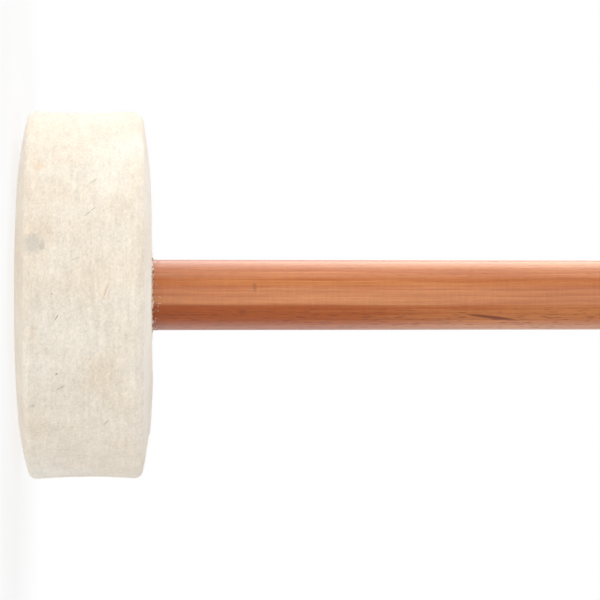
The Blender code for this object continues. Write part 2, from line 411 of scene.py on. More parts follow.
@dataclass(frozen=True)
class Beech:
    """Steamed beech under a thin satin lacquer, with ray flecks, growth rings and one mineral streak."""

    radius: float
    root: float
    # Colours
    light: Colour = (0.660, 0.250, 0.078)
    dark: Colour = (0.385, 0.080, 0.008)
    fleck: Colour = (0.150, 0.030, 0.006)
    streak: Colour = (0.190, 0.035, 0.006)
    # The mineral streak and the smudge: their places and half sizes
    streak_middle: float = 0.1672
    streak_half_length: float = 0.0115
    streak_height: float = 0.0079
    streak_slope: float = 0.115
    streak_half_width: float = 0.00050
    smudge: Point = (-0.0026, 0.0826)
    smudge_half: Point = (0.0020, 0.0008)
    # The growth rings
    pith: Point = (0.055, 0.012)
    ring_spacing: float = 0.0023
    ring_wander: float = 0.0028
    # Where the marks and the painted shade near the head fade out
    front_blend: float = -0.002
    root_shade_reach: float = 0.050
    fade_reach: float = 0.150

    def build(self) -> bpy.types.Material:
        """Build the material.

        Returns:
            The finished material.
        """
        recipe = Recipe("beech")
        space = recipe.place()
        down, away, up = recipe.parts_of(space)
        drift = recipe.noise(recipe.stretched(space, (60.0, 60.0, 7.0)), detail=2.0)
        lines = recipe.noise(recipe.stretched(space, (1500.0, 1500.0, 26.0)), detail=4.0, roughness=0.62)
        fine = recipe.noise(recipe.stretched(space, (3600.0, 3600.0, 210.0)), detail=3.0, roughness=0.65)
        rings = self._rings(recipe, space, down, away)
        bands = recipe.noise(recipe.stretched(space, (150.0, 150.0, 950.0)), detail=2.0)
        tangent = (abs(down) / self.radius).smooth(0.22, 0.62)
        # The flecks are painted fainter on the side towards the picture's top: a painted highlight that washes them
        # out.
        flecks = self._flecks(recipe, space) * tangent * (down.smooth(-0.002, 0.003) * 0.7 + 0.3)
        combed = recipe.stretched(space, (1350.0, 1350.0, 42.0), 0.0, (5.0, 5.0, 5.0))
        darks = recipe.hair_lines(combed, 14.0) * drift.smooth(0.35, 0.6) * (tangent * 0.75 + 0.25)
        # The side towards the picture's foot is darker, most of all near the head: partly a deeper wood tone, partly
        # painted shade.
        lower_tone_and_shade = down.smooth(0.0026, 0.0042)
        # Painted shade: the wood is darker near the head, where the felt shades it.
        root_shade = up.smooth(self.root + self.root_shade_reach, self.root - 0.004)
        fade = up.smooth(self.root + self.fade_reach, self.root + 0.020)

        tone = drift.smooth(0.25, 0.75) * 0.62 + (lines - 0.5) * 0.95 + rings * 0.20 + 0.17
        # Painted shade: the tone falls near the head and, fading out along the handle, a little overall.
        tone = tone - lower_tone_and_shade * (fade * 0.75 + 0.06) - root_shade * 0.26 - fade * 0.04
        colour = recipe.mix(tone.smooth(-0.25, 0.95), self.dark, self.light)
        shade = 1.0 + (bands - 0.5) * (0.22 - tangent * 0.14) + (fine - 0.5) * 0.46
        colour = recipe.mix(1.0, colour, recipe.grey(shade), "MULTIPLY")
        colour = recipe.mix(flecks * 0.62, colour, self.fleck)
        colour = recipe.mix(darks * 0.42, colour, self.fleck)
        colour = recipe.mix(self._smudge_mask(down, away, up, fine), colour, self.fleck)
        colour = recipe.mix(self._streak_mask(down, away, up, lines), colour, self.streak)
        height = lines * 0.8 - flecks * 0.6 + bands * 0.15
        return recipe.finish(
            {
                "Base Color": colour,
                "Roughness": 0.40 + (lines - 0.5) * 0.20 + flecks * 0.10,
                "Specular IOR Level": 0.22,
                "Coat Weight": 0.40,
                "Coat Roughness": 0.16,
                "Normal": recipe.bump(height, 0.00007, 0.55),
            }
        )

    def _rings(self, recipe: Recipe, space: bpy.types.NodeSocket, down: Value, away: Value) -> Value:
        """Draw the growth rings: a slow rise and a quick fall every couple of millimetres from the pith.

        Args:
            recipe: The beech's recipe.
            space: The object coordinates.
            down: The place towards the picture's foot.
            away: The place away from the camera.

        Returns:
            A value from 0 to 1 across each ring.
        """
        off_down = down - self.pith[0]
        off_away = away - self.pith[1]
        reach = (off_down * off_down + off_away * off_away) ** 0.5
        wander = (recipe.noise(recipe.stretched(space, (90.0, 90.0, 12.0)), detail=2.0) - 0.5) * self.ring_wander
        phase = recipe.math("FRACT", (reach + wander) / self.ring_spacing)
        return phase * phase.smooth(1.0, 0.9)

    @staticmethod
    def _flecks(recipe: Recipe, space: bpy.types.NodeSocket) -> Value:
        """Draw the ray ends: short dark dashes along the grain, a third of a millimetre wide.

        Args:
            recipe: The beech's recipe.
            space: The object coordinates.

        Returns:
            A mask of the dashes.
        """
        total: Number = 0.0
        for move, across, length in ((0.0, 1700.0, 260.0), (3.7, 1150.0, 170.0)):
            bent = recipe.stretched(space, (across, across, length), 0.0, (move, move, move))
            cells = recipe.node(
                "ShaderNodeTexVoronoi", {"feature": "F1"}, {"Vector": bent, "Scale": 1.0, "Randomness": 1.0}
            )
            shade = recipe.parts_of(cells.outputs["Color"])[0]
            reach = Value(recipe, cells.outputs["Distance"])
            total = reach.smooth(0.42, 0.16) * shade.smooth(0.45, 0.75) + total
        return recipe.math("MINIMUM", total, 1.0)

    def _smudge_mask(self, down: Value, away: Value, up: Value, fine: Value) -> Value:
        """Draw the small dark smudge across the grain near the head.

        Args:
            down: The place towards the picture's foot.
            away: The place away from the camera.
            up: The place along the handle.
            fine: The finest grain, which frays its edge.

        Returns:
            A mask of the smudge, on the camera's side only.
        """
        across = (down - self.smudge[0]) / self.smudge_half[0]
        along = (up - self.smudge[1]) / self.smudge_half[1]
        reach = across * across + along * along + (fine - 0.5) * 2.5
        return reach.smooth(1.2, 0.0) * away.smooth(0.0, self.front_blend) * 0.38

    def _streak_mask(self, down: Value, away: Value, up: Value, lines: Value) -> Value:
        """Draw the mineral streak: a dark lens that runs a little across the grain.

        Args:
            down: The place towards the picture's foot.
            away: The place away from the camera.
            up: The place along the handle.
            lines: The grain, which frays its edge.

        Returns:
            A mask of the streak, on the camera's side only.
        """
        off_up = up - self.streak_middle
        middle = off_up * self.streak_slope + self.streak_height
        across = (down - middle) / self.streak_half_width
        along = off_up / self.streak_half_length
        lens = 1.0 - across * across * 0.5 - along * along + (lines - 0.5) * 0.5
        return lens.smooth(0.0, 0.85) * away.smooth(0.0, self.front_blend) * 0.92


@dataclass(frozen=True)
class ZincSteel:
    """Zinc-plated steel: pale grey with fine turning marks and duller patches."""

    def build(self) -> bpy.types.Material:
        """Build the material.

        Returns:
            The finished material.
        """
        recipe = Recipe("zinc_steel")
        space = recipe.place()
        across, away, _ = recipe.parts_of(space)
        reach = (across * across + away * away) ** 0.5
        grooves = recipe.math("SINE", reach * 15000.0) * 0.5 + 0.5
        patches = recipe.noise(space, scale=380.0, detail=3.0)
        colour = recipe.mix(patches.smooth(0.35, 0.7), (0.56, 0.57, 0.58), (0.74, 0.74, 0.72))
        return recipe.finish(
            {
                "Base Color": colour,
                "Metallic": 1.0,
                "Roughness": 0.28 + patches * 0.22,
                "Normal": recipe.bump(grooves + patches * 0.6, 0.00002, 0.4),
            }
        )


@dataclass(frozen=True)
class SetGlue:
    """Wood glue set hard: amber and glassy where thick, pale where it has soaked into wool."""

    def build(self) -> bpy.types.Material:
        """Build the material.

        Returns:
            The finished material.
        """
        recipe = Recipe("set_glue")
        space = recipe.place()
        patches = recipe.noise(space, scale=900.0, detail=3.0)
        fine = recipe.noise(space, scale=3600.0, detail=2.0)
        colour = recipe.mix(patches.smooth(0.40, 0.66), (0.46, 0.24, 0.12), (0.90, 0.82, 0.70))
        return recipe.finish(
            {
                "Base Color": colour,
                "Roughness": 0.35 + patches * 0.4,
                "Normal": recipe.bump(patches + fine * 0.5, 0.00015, 0.8),
            }
        )


@dataclass(frozen=True)
class StudioPaper:
    """Pale paper on a light table: white to the camera except where the object shades it."""

    tint: Colour = (0.93, 0.93, 0.93)
    shadow_share: float = 0.24
    shadow_near: float = 0.075
    shadow_far: float = 0.26
    glow: float = 0.60

    def build(self) -> bpy.types.Material:
        """Build the material.

        Returns:
            The finished material.
        """
        recipe = Recipe("studio_paper")
        paper = recipe.node("ShaderNodeBsdfDiffuse", None, {"Color": self.tint})
        white = recipe.node("ShaderNodeEmission", None, {"Color": WHITE, "Strength": 1.0})
        across, away, _ = recipe.parts_of(recipe.place())
        reach = (across * across + away * away) ** 0.5
        shaded = reach.smooth(self.shadow_far, self.shadow_near) * self.shadow_share
        seen = recipe.node("ShaderNodeLightPath").outputs
        camera = Value(recipe, seen["Is Camera Ray"])
        both = camera * (1.0 - shaded)
        for ray in ("Is Glossy Ray", "Is Transmission Ray"):
            both = recipe.math("MAXIMUM", Value(recipe, seen[ray]), both)
        both = recipe.math("MAXIMUM", (1.0 - camera) * self.glow, both)
        mixed = recipe.node("ShaderNodeMixShader", None, {0: both, 1: paper.outputs[0], 2: white.outputs[0]})
        recipe.node("ShaderNodeOutputMaterial", None, {0: mixed.outputs[0]})
        return recipe.material


class Chart(Enum):
    """The stretches of the disc's outline, each with a value that moves it off the others on the cloth."""

    FRONT = 1
    RIM = 0
    BACK = 2


def arc(centre: Point, radius: float, start: float, end: float, steps: int) -> list[Point]:
    """Return points (r, z) on an arc, both ends included."""
    angles = [start + (end - start) * i / steps for i in range(steps + 1)]
    return [(centre[0] + radius * math.cos(a), centre[1] + radius * math.sin(a)) for a in angles]


def line(start: Point, end: Point, steps: int) -> list[Point]:
    """Return points on a straight run, both ends included."""
    shares = [i / steps for i in range(steps + 1)]
    return [(start[0] + (end[0] - start[0]) * s, start[1] + (end[1] - start[1]) * s) for s in shares]


def joined(*runs: Iterable[Point]) -> list[Point]:
    """Join runs of points, leaving out a point that repeats the one before it.

    Args:
        runs: The runs in order.

    Returns:
        One run of all the points.
    """
    points: list[Point] = []
    for run in runs:
        for point in run:
            if not points or math.dist(points[-1], point) > 1e-7:
                points.append(point)
    return points


@dataclass(frozen=True)
class Swell:
    """One layer of unevenness: its wavelength, its seed and its height."""

    wavelength: float
    seed: float
    height: float

    def at(self, place: Vector) -> float:
        """Return the layer's height at a place."""
        shift = Vector((self.seed, self.seed * 0.7, -self.seed * 0.3))
        return noise.noise(place / self.wavelength + shift) * self.height


def rim_direction(angle: float) -> Vector:
    """Return the way out from the axis; 0 is towards the camera, and it grows towards the picture's top."""
    return Vector((-math.sin(angle), -math.cos(angle), 0.0))


def add_object(name: str, mesh: bpy.types.Mesh, material: bpy.types.Material) -> bpy.types.Object:
    """Link a new piece with one material, at the origin.

    Args:
        name: The piece's name.
        mesh: Its mesh, with its place in it.
        material: Its material.

    Returns:
        The new object.
    """
    mesh.materials.clear()
    mesh.materials.append(material)
    made = bpy.data.objects.new(name, mesh)
    bpy.context.scene.collection.objects.link(made)
    return made


def report(piece: bpy.types.Object) -> None:
    """Log a finished piece with its size in faces."""
    LOG.info("%s: %d faces", piece.name, len(piece.data.polygons))


def turned_mesh(name: str, points: np.ndarray, closed: bool) -> bpy.types.Mesh:
    """Make a mesh from a grid of points.

    Args:
        name: The mesh's name.
        points: Rows along the outline, columns round the axis, three numbers each.
        closed: Whether the last row joins the first. If not, each end row is a pole and is merged.

    Returns:
        A mesh with its faces pointing out.
    """
    rows, columns = points.shape[:2]
    faces = []
    for i in range(rows if closed else rows - 1):
        below = i * columns
        above = ((i + 1) % rows) * columns
        for j in range(columns):
            k = (j + 1) % columns
            faces.append((below + j, below + k, above + k, above + j))
    mesh = bpy.data.meshes.new(name)
    mesh.from_pydata(points.reshape(-1, 3).tolist(), [], faces)
    work = bmesh.new()
    work.from_mesh(mesh)
    if not closed:
        bmesh.ops.remove_doubles(work, verts=work.verts[:], dist=1e-7)
    bmesh.ops.recalc_face_normals(work, faces=work.faces[:])
    work.to_mesh(mesh)
    work.free()
    mesh.shade_smooth()
    return mesh


def strip_mesh(name: str, first: Point, last: Point, columns: int, sense: int) -> bpy.types.Mesh:
    """Make the plain band between two rings, each given as (r, z).

    Args:
        name: The mesh's name.
        first: The ring that starts the band.
        last: The ring that ends it.
        columns: The number of faces round the axis.
        sense: 1 to run round with the angle and -1 against it, which turns the faces over.

    Returns:
        The band as a mesh.
    """
    places = []
    for r, z in (first, last):
        for j in range(columns):
            angle = sense * 2 * math.pi * j / columns
            places.append((r * math.cos(angle), r * math.sin(angle), z))
    faces = [(j, (j + 1) % columns, columns + (j + 1) % columns, columns + j) for j in range(columns)]
    mesh = bpy.data.meshes.new(name)
    mesh.from_pydata(places, [], faces)
    return mesh


@dataclass
class HairCoat:
    """Loose hairs grown over a surface by a node tree: a bent hair on each scattered point."""

    name: str
    density: float
    length: float
    thickness: float
    seed: int
    lean: float = 0.55
    tilt: float = 0.5
    shortest: float = 0.45
    longest: float = 1.45
    joints: int = 3
    sides: int = 3

    def grow(self, surface: bpy.types.Mesh, material: bpy.types.Material) -> bpy.types.Object:
        """Grow the hairs.

        Args:
            surface: The mesh that the hairs stand on.
            material: The hairs' material.

        Returns:
            The hairs as one plain mesh object, on the mallet's body.
        """
        holder = bpy.data.objects.new(self.name + "_ground", surface)
        bpy.context.scene.collection.objects.link(holder)
        tree, sockets = self._tree(material)
        modifier = holder.modifiers.new("hairs", "NODES")
        modifier.node_group = tree
        for label, value in (("Density", self.density), ("Length", self.length), ("Thickness", self.thickness)):
            modifier[sockets[label]] = value
        modifier[sockets["Seed"]] = self.seed
        graph = bpy.context.evaluated_depsgraph_get()
        mesh = bpy.data.meshes.new_from_object(holder.evaluated_get(graph), depsgraph=graph)
        mesh.name = self.name
        holder.modifiers.clear()
        bpy.data.objects.remove(holder, do_unlink=True)
        bpy.data.node_groups.remove(tree)
        piece = add_object(self.name, mesh, material)
        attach(piece, BODY)
        return piece

    def _tree(self, material: bpy.types.Material) -> tuple[bpy.types.NodeTree, dict[str, str]]:
        """Build the tree that grows the hairs.

        Args:
            material: The hairs' material.

        Returns:
            The tree, and the identifier of each named input.
        """
        tree = bpy.data.node_groups.new(self.name, "GeometryNodeTree")
        tree.interface.new_socket("Geometry", in_out="INPUT", socket_type="NodeSocketGeometry")
        sockets = {}
        for label, kind in (("Density", "Float"), ("Length", "Float"), ("Thickness", "Float"), ("Seed", "Int")):
            made = tree.interface.new_socket(label, in_out="INPUT", socket_type="NodeSocket" + kind)
            sockets[label] = made.identifier
        tree.interface.new_socket("Geometry", in_out="OUTPUT", socket_type="NodeSocketGeometry")
        graph = Graph(tree)
        source = graph.node("NodeGroupInput").outputs
        spread = {"Mesh": source["Geometry"], "Density": source["Density"], "Seed": source["Seed"]}
        scatter = graph.node("GeometryNodeDistributePointsOnFaces", None, spread).outputs
        # The hair is drawn at a length of about 1 and is scaled to its size as it is set on its point.
        bend = {
            "Resolution": self.joints,
            "Start": (0.0, 0.0, -0.12),
            "Start Handle": (0.0, 0.0, 0.30),
            "End Handle": (self.lean * 0.5, 0.15, 0.55),
            "End": (self.lean, 0.25, 0.50),
        }
        hair = graph.node("GeometryNodeCurvePrimitiveBezierSegment", None, bend).outputs[0]
        thin = graph.node("ShaderNodeMath", {"operation": "DIVIDE"}, {0: source["Thickness"], 1: source["Length"]})
        section = {"Resolution": self.sides, "Radius": thin.outputs[0]}
        ring = graph.node("GeometryNodeCurvePrimitiveCircle", None, section).outputs[0]
        tube = {"Curve": hair, "Profile Curve": ring, "Fill Caps": True}
        skin = graph.node("GeometryNodeCurveToMesh", None, tube).outputs[0]
        least, most = (-self.tilt, -self.tilt, -math.pi), (self.tilt, self.tilt, math.pi)
        ways = {0: least, 1: most, "Seed": source["Seed"]}
        spin = graph.node("FunctionNodeRandomValue", {"data_type": "FLOAT_VECTOR"}, ways).outputs[0]
        turned = {0: scatter["Rotation"], 1: spin}
        turn = graph.node("FunctionNodeRotateRotation", {"rotation_space": "LOCAL"}, turned).outputs[0]
        size = graph.node("FunctionNodeRandomValue", {"data_type": "FLOAT"}, {2: self.shortest, 3: self.longest})
        scale = graph.node("ShaderNodeMath", {"operation": "MULTIPLY"}, {0: size.outputs[1], 1: source["Length"]})
        standing = {"Points": scatter["Points"], "Instance": skin, "Rotation": turn, "Scale": scale.outputs[0]}
        stand = graph.node("GeometryNodeInstanceOnPoints", None, standing).outputs[0]
        plain = graph.node("GeometryNodeRealizeInstances", None, {0: stand}).outputs[0]
        dress = graph.node("GeometryNodeSetMaterial", None, {"Geometry": plain, "Material": material})
        graph.node("NodeGroupOutput", None, {"Geometry": dress.outputs[0]})
        return tree, sockets


@dataclass(frozen=True)
class StrayHair:
    """One coloured hair caught in the rim's wool, placed as a stain is."""

    round_rim: float
    along: float
    length: float
    lean: float
    bow: float
    thickness: float
    dark: bool


@dataclass
class FeltHead:
    """The pressed felt disc, its loose hairs and the stray coloured ones."""

    radius: float
    thickness: float
    # The outline
    front_land: float = 0.034
    front_crown: float = 0.114
    front_corner: float = 0.0026
    back_land: float = 0.032
    back_crown: float = 0.169
    back_corner: float = 0.0030
    rim_hollow: float = 0.0007
    bore: float = 0.0093
    recess: float = 0.0160
    recess_floor: float = 0.0054
    recess_lip: float = 0.0010
    # The low step on the back face
    ledge_from: float = 0.6
    ledge_inset: float = 0.001
    ledge_radius: float = 0.0497
    ledge_height: float = 0.00055
    ledge_blur: float = 0.00035
    ledge_start: float = 0.018
    ledge_rise: float = 0.012
    # The unevenness, and where it fades out
    calm: float = 0.002
    resting_depth: float = 0.0006
    edge_inset: float = 0.0012
    edge_width: float = 0.0028
    broad: tuple[Swell, Swell] = (Swell(0.034, 3.1, 0.00030), Swell(0.011, 7.7, 0.00014))
    fine: tuple[Swell, Swell] = (Swell(0.0042, 1.3, 0.00007), Swell(0.0019, 5.5, 0.00005))
    edge_wear: Swell = Swell(0.0060, 9.1, 0.00022)
    # The mesh
    columns: int = 480
    crown_steps: int = 34
    corner_steps: int = 12
    rim_steps: int = 48
    land_steps: int = 16
    recess_steps: int = 5
    wall_steps: int = 4
    uv_name: str = "cloth"
    # The hairs
    bald_below: float = 0.0004
    stray_lift: float = 0.00010
    stray_girth: float = 1.15
    stray_taper: float = 2.6
    stray_steps: int = 8
    stray_sides: int = 5
    strays: tuple[StrayHair, ...] = (
        StrayHair(0.0286, 0.0262, 0.0058, 0.75, 0.10, 0.00006, True),
        StrayHair(0.0342, 0.0322, 0.0031, 1.30, 0.25, 0.00006, True),
        StrayHair(0.0405, 0.0267, 0.0033, 0.70, -0.20, 0.00006, True),
        StrayHair(0.0010, 0.0309, 0.0052, 1.25, 0.15, 0.00006, False),
        StrayHair(-0.0075, 0.0150, 0.0021, 1.00, 0.05, 0.00013, True),
        StrayHair(0.0002, 0.0134, 0.0007, 0.30, 0.00, 0.00012, True),
        StrayHair(-0.0269, 0.0148, 0.0008, 0.60, 0.00, 0.00014, True),
        StrayHair(-0.0320, 0.0161, 0.0028, 0.50, -0.10, 0.00010, True),
        StrayHair(0.0281, 0.0079, 0.0036, 0.00, 0.55, 0.00007, False),
        StrayHair(-0.0160, 0.0066, 0.0045, 1.57, 0.05, 0.00007, False),
        StrayHair(-0.0360, 0.0066, 0.0010, 1.20, 0.00, 0.00010, True),
        StrayHair(-0.0468, 0.0310, 0.0026, 0.90, 0.30, 0.00006, True),
        StrayHair(-0.0060, 0.0380, 0.0024, 1.40, 0.20, 0.00005, True),
        StrayHair(0.0120, 0.0210, 0.0026, 0.40, -0.30, 0.00005, True),
        StrayHair(-0.0220, 0.0255, 0.0030, 1.10, 0.35, 0.00005, False),
    )

    def _face(self, land: float, crown: float, corner: float) -> tuple[list[Point], list[Point]]:
        """Draw one face's crown and corner, both tangent where they meet.

        Args:
            land: The radius at which the flat ends.
            crown: The crown's own radius.
            corner: The radius of the worn corner.

        Returns:
            The crown's points and the corner's, as (r, depth).
        """
        corner_r = self.radius - corner
        drop = math.sqrt((crown - corner) ** 2 - (corner_r - land) ** 2)
        meeting = math.atan2(corner_r - land, drop)
        crowned = arc((land, crown), crown, -QUARTER_TURN, meeting - QUARTER_TURN, self.crown_steps)
        cornered = arc((corner_r, crown - drop), corner, meeting - QUARTER_TURN, 0.0, self.corner_steps)
        return crowned, cornered

    def _rim_radius(self, share: float) -> float:
        """Return the radius at a share of the way across the slightly hollow rim."""
        return self.radius - self.rim_hollow * 4 * share * (1 - share)

    def outline(self) -> tuple[list[Point], list[Chart]]:
        """Draw the disc's outline as a closed loop.

        Returns:
            The points as (r, z), and the chart that each point starts.
        """
        crown_a, corner_a = self._face(self.front_land, self.front_crown, self.front_corner)
        crown_b, corner_b = self._face(self.back_land, self.back_crown, self.back_corner)
        split = self.corner_steps // 2
        lip_centre = (self.recess + self.recess_lip, self.recess_lip)
        front = joined(
            line((self.bore, self.recess_floor), (self.recess, self.recess_floor), self.recess_steps),
            line((self.recess, self.recess_floor), (self.recess, self.recess_lip), self.wall_steps),
            arc(lip_centre, self.recess_lip, math.pi, 1.5 * math.pi, self.recess_steps),
            line((lip_centre[0], 0.0), (self.front_land, 0.0), self.land_steps),
            crown_a,
            corner_a[: split + 1],
        )
        low, high = corner_a[-1][1], self.thickness - corner_b[-1][1]
        shares = [i / self.rim_steps for i in range(self.rim_steps + 1)]
        middle = [(self._rim_radius(share), low + (high - low) * share) for share in shares]
        turned_back = [(r, self.thickness - depth) for r, depth in reversed(crown_b + corner_b[1:])]
        rim = joined(corner_a[split:], middle, turned_back[: split + 1])
        inward = line((self.back_land, self.thickness), (self.bore, self.thickness), self.land_steps + 2)
        back = joined(turned_back[split:], inward)
        points = front + rim[1:] + back[1:]
        charts = [Chart.FRONT] * (len(front) - 1) + [Chart.RIM] * (len(rim) - 1) + [Chart.BACK] * (len(back) - 1)
        wall = line((self.bore, self.thickness), (self.bore, self.recess_floor), self.wall_steps)[1:-1]
        points += wall
        charts += [Chart.BACK] * (len(points) - len(charts))
        return points, charts

    def _shaped(self, points: Sequence[Point]) -> np.ndarray:
        """Turn the outline and give the surface the unevenness of pressed wool.

        Args:
            points: The outline as (r, z).

        Returns:
            A grid of places, with a row for each point and a column for each direction.
        """
        count = len(points)
        grid = np.zeros((count, self.columns, 3))
        for i, (r, z) in enumerate(points):
            before, after = points[i - 1], points[(i + 1) % count]
            out_r, out_z = after[1] - before[1], before[0] - after[0]
            size = math.hypot(out_r, out_z) or 1.0
            out_r, out_z = out_r / size, out_z / size
            outer = max(0.0, min(1.0, (r - self.recess - self.calm) / (3 * self.calm)))
            resting = 1.0 if z > self.resting_depth else 0.0
            edge = math.exp(-(((r - self.radius + self.edge_inset) / self.edge_width) ** 2)) * abs(out_z) * 2.0
            for j in range(self.columns):
                angle = 2 * math.pi * (j + 0.5) / self.columns
                out = rim_direction(angle)
                place = Vector((r * out.x, r * out.y, z))
                lift = self.broad[0].at(place) + self.broad[1].at(place)
                lift += self.fine[0].at(place) + self.fine[1].at(place)
                lift += self.edge_wear.at(place) * min(1.0, edge)
                lift *= outer * resting
                lift += self._ledge(r, z, angle)
                grid[i, j] = place + Vector((out.x * out_r, out.y * out_r, out_z)) * lift
        return grid

    def _ledge(self, r: float, z: float, angle: float) -> float:
        """Raise the low step that the back face has on one side, near its rim.

        Args:
            r: The radius.
            z: The height.
            angle: The direction round the axis.

        Returns:
            The height of the step at that place.
        """
        if z < self.thickness * self.ledge_from or r < self.bore + self.ledge_inset:
            return 0.0
        side = max(0.0, math.cos(angle - 1.5 * math.pi)) ** 2
        rise = 1.0 / (1.0 + math.exp((r - self.ledge_radius) / self.ledge_blur))
        inner = min(1.0, max(0.0, (r - self.ledge_start) / self.ledge_rise))
        return self.ledge_height * side * rise * inner

    def _cloth_coordinates(self, mesh: bpy.types.Mesh, charts: Sequence[Chart], points: Sequence[Point]) -> None:
        """Give every face corner its place on the cloth, in metres: round and along on the rim, flat on the faces.

        Args:
            mesh: The disc's mesh.
            charts: The chart of each row of faces.
            points: The outline as (r, z).
        """
        layer = mesh.uv_layers.new(name=self.uv_name)
        places = np.zeros((len(mesh.loops), 2))
        for index, polygon in enumerate(mesh.polygons):
            row, column = divmod(index, self.columns)
            chart = charts[row]
            for loop, vertex in zip(polygon.loop_indices, polygon.vertices):
                if chart is Chart.RIM:
                    here = vertex % self.columns
                    if column == self.columns - 1 and here == 0:
                        here = self.columns
                    angle = 2 * math.pi * (here + 0.5) / self.columns
                    angle = angle - 2 * math.pi if column + 0.5 > self.columns / 2 else angle
                    places[loop] = (angle * self.radius, points[vertex // self.columns][1])
                else:
                    place = mesh.vertices[vertex].co
                    places[loop] = (place.x + chart.value, place.y + chart.value * 0.5)
        layer.data.foreach_set("uv", places.ravel())

    def build(self, felt: bpy.types.Material) -> bpy.types.Object:
        """Build the disc, in place of its plain solid.

        Args:
            felt: The pressed felt.

        Returns:
            The disc.
        """
        points, charts = self.outline()
        mesh = turned_mesh("felt_disc", self._shaped(points), closed=True)
        self._cloth_coordinates(mesh, charts, points)
        piece = add_object("felt_disc", mesh, felt)
        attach(piece, BODY)
        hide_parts("felt_head")
        return piece

    def hairs(self, disc: bpy.types.Object, wool: bpy.types.Material) -> bpy.types.Object:
        """Grow the fuzz on all that shows of the disc.

        Args:
            disc: The finished disc.
            wool: The loose wool.

        Returns:
            The fuzz.
        """
        work = bmesh.new()
        work.from_mesh(disc.data)
        hidden = []
        for face in work.faces:
            centre = face.calc_center_median()
            if math.hypot(centre.x, centre.y) < self.recess + self.calm or centre.z < self.bald_below:
                hidden.append(face)
        bmesh.ops.delete(work, geom=hidden, context="FACES")
        ground = bpy.data.meshes.new("fuzz_ground")
        work.to_mesh(ground)
        work.free()
        coat = HairCoat("felt_fuzz", density=210000.0, length=0.00062, thickness=0.000014, seed=11)
        return coat.grow(ground, wool)

    def stray_hairs(self, dark: bpy.types.Material, red: bpy.types.Material) -> list[bpy.types.Object]:
        """Lay the coloured hairs on the rim.

        Args:
            dark: The dark hairs' material.
            red: The red hairs' material.

        Returns:
            One piece for each colour.
        """
        made = []
        for name, shade, material in (("dark_strays", True, dark), ("red_strays", False, red)):
            work = bmesh.new()
            for stray in self.strays:
                if stray.dark is shade:
                    self._lay(work, stray)
            mesh = bpy.data.meshes.new(name)
            work.to_mesh(mesh)
            work.free()
            mesh.shade_smooth()
            piece = add_object(name, mesh, material)
            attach(piece, BODY)
            made.append(piece)
        return made

    def _lay(self, work: bmesh.types.BMesh, stray: StrayHair) -> None:
        """Add one hair as a thin bowed tube that dips into the wool at both ends.

        Args:
            work: The mesh that it is added to.
            stray: The hair.
        """
        steps, sides = self.stray_steps, self.stray_sides
        rings = []
        for i in range(steps + 1):
            share = i / steps - 0.5
            bow = stray.bow * stray.length * (0.25 - share * share)
            along = stray.along + math.cos(stray.lean) * share * stray.length - math.sin(stray.lean) * bow
            turn = stray.round_rim + math.sin(stray.lean) * share * stray.length + math.cos(stray.lean) * bow
            thin = stray.thickness * (self.stray_girth - self.stray_taper * share * share)
            angle = turn / self.radius
            out = rim_direction(angle)
            tangent = Vector((-math.cos(angle), math.sin(angle), 0.0))
            across = tangent * math.cos(stray.lean) - Vector((0.0, 0.0, 1.0)) * math.sin(stray.lean)
            reach = self._rim_radius(along / self.thickness) + self.stray_lift
            place = out * reach + Vector((0.0, 0.0, along))
            ring = []
            for k in range(sides):
                spoke = 2 * math.pi * k / sides
                ring.append(work.verts.new(place + (out * math.sin(spoke) + across * math.cos(spoke)) * thin))
            rings.append(ring)
        for low, high in zip(rings, rings[1:]):
            for k in range(sides):
                n = (k + 1) % sides
                work.faces.new((low[k], low[n], high[n], high[k]))
        work.faces.new(rings[0])
        work.faces.new(rings[-1])
        bmesh.ops.recalc_face_normals(work, faces=work.faces[:])


